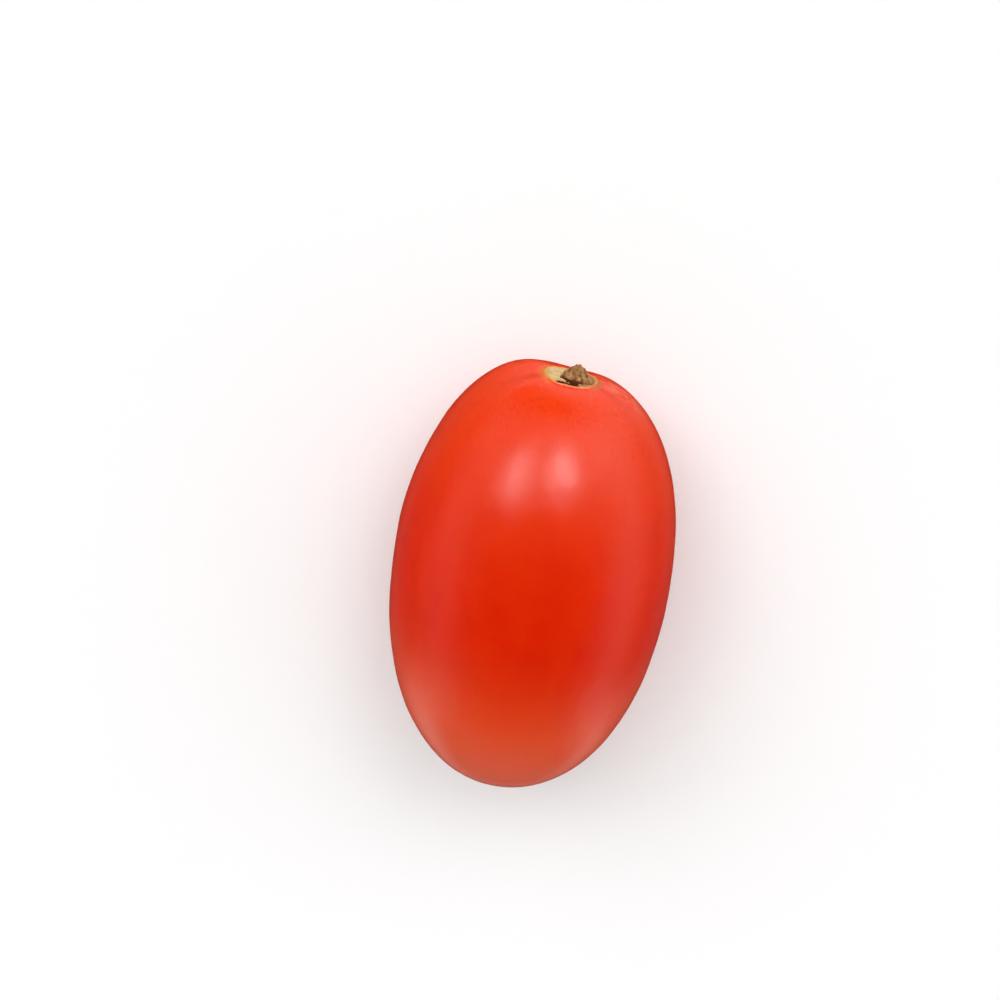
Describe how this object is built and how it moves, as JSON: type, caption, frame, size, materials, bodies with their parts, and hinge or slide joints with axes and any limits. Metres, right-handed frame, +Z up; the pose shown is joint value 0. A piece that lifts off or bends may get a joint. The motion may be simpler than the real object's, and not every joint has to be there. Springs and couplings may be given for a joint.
{
  "type": "plum tomato",
  "caption": "Ripe red plum tomato lying on its side on a small flat spot, with a corky stem scar, folded shoulder and a dry stub of the stalk.",
  "frame": {"origin": "on the supporting surface, under the middle of the part's box", "axes": "+X along the fruit's long axis, from the blossom end to the stem end; +Z up, away from the surface that the fruit lies on; +Y across"},
  "size_m": [0.0816, 0.0498, 0.0491],
  "materials": {
    "ripe_skin": "smooth waxy satin gloss",
    "dried_stalk": "dry, fibrous, matt"
  },
  "bodies": {
    "root": {"fruit": "ripe_skin", "stem_stub": "dried_stalk"}
  },
  "joints": []
}
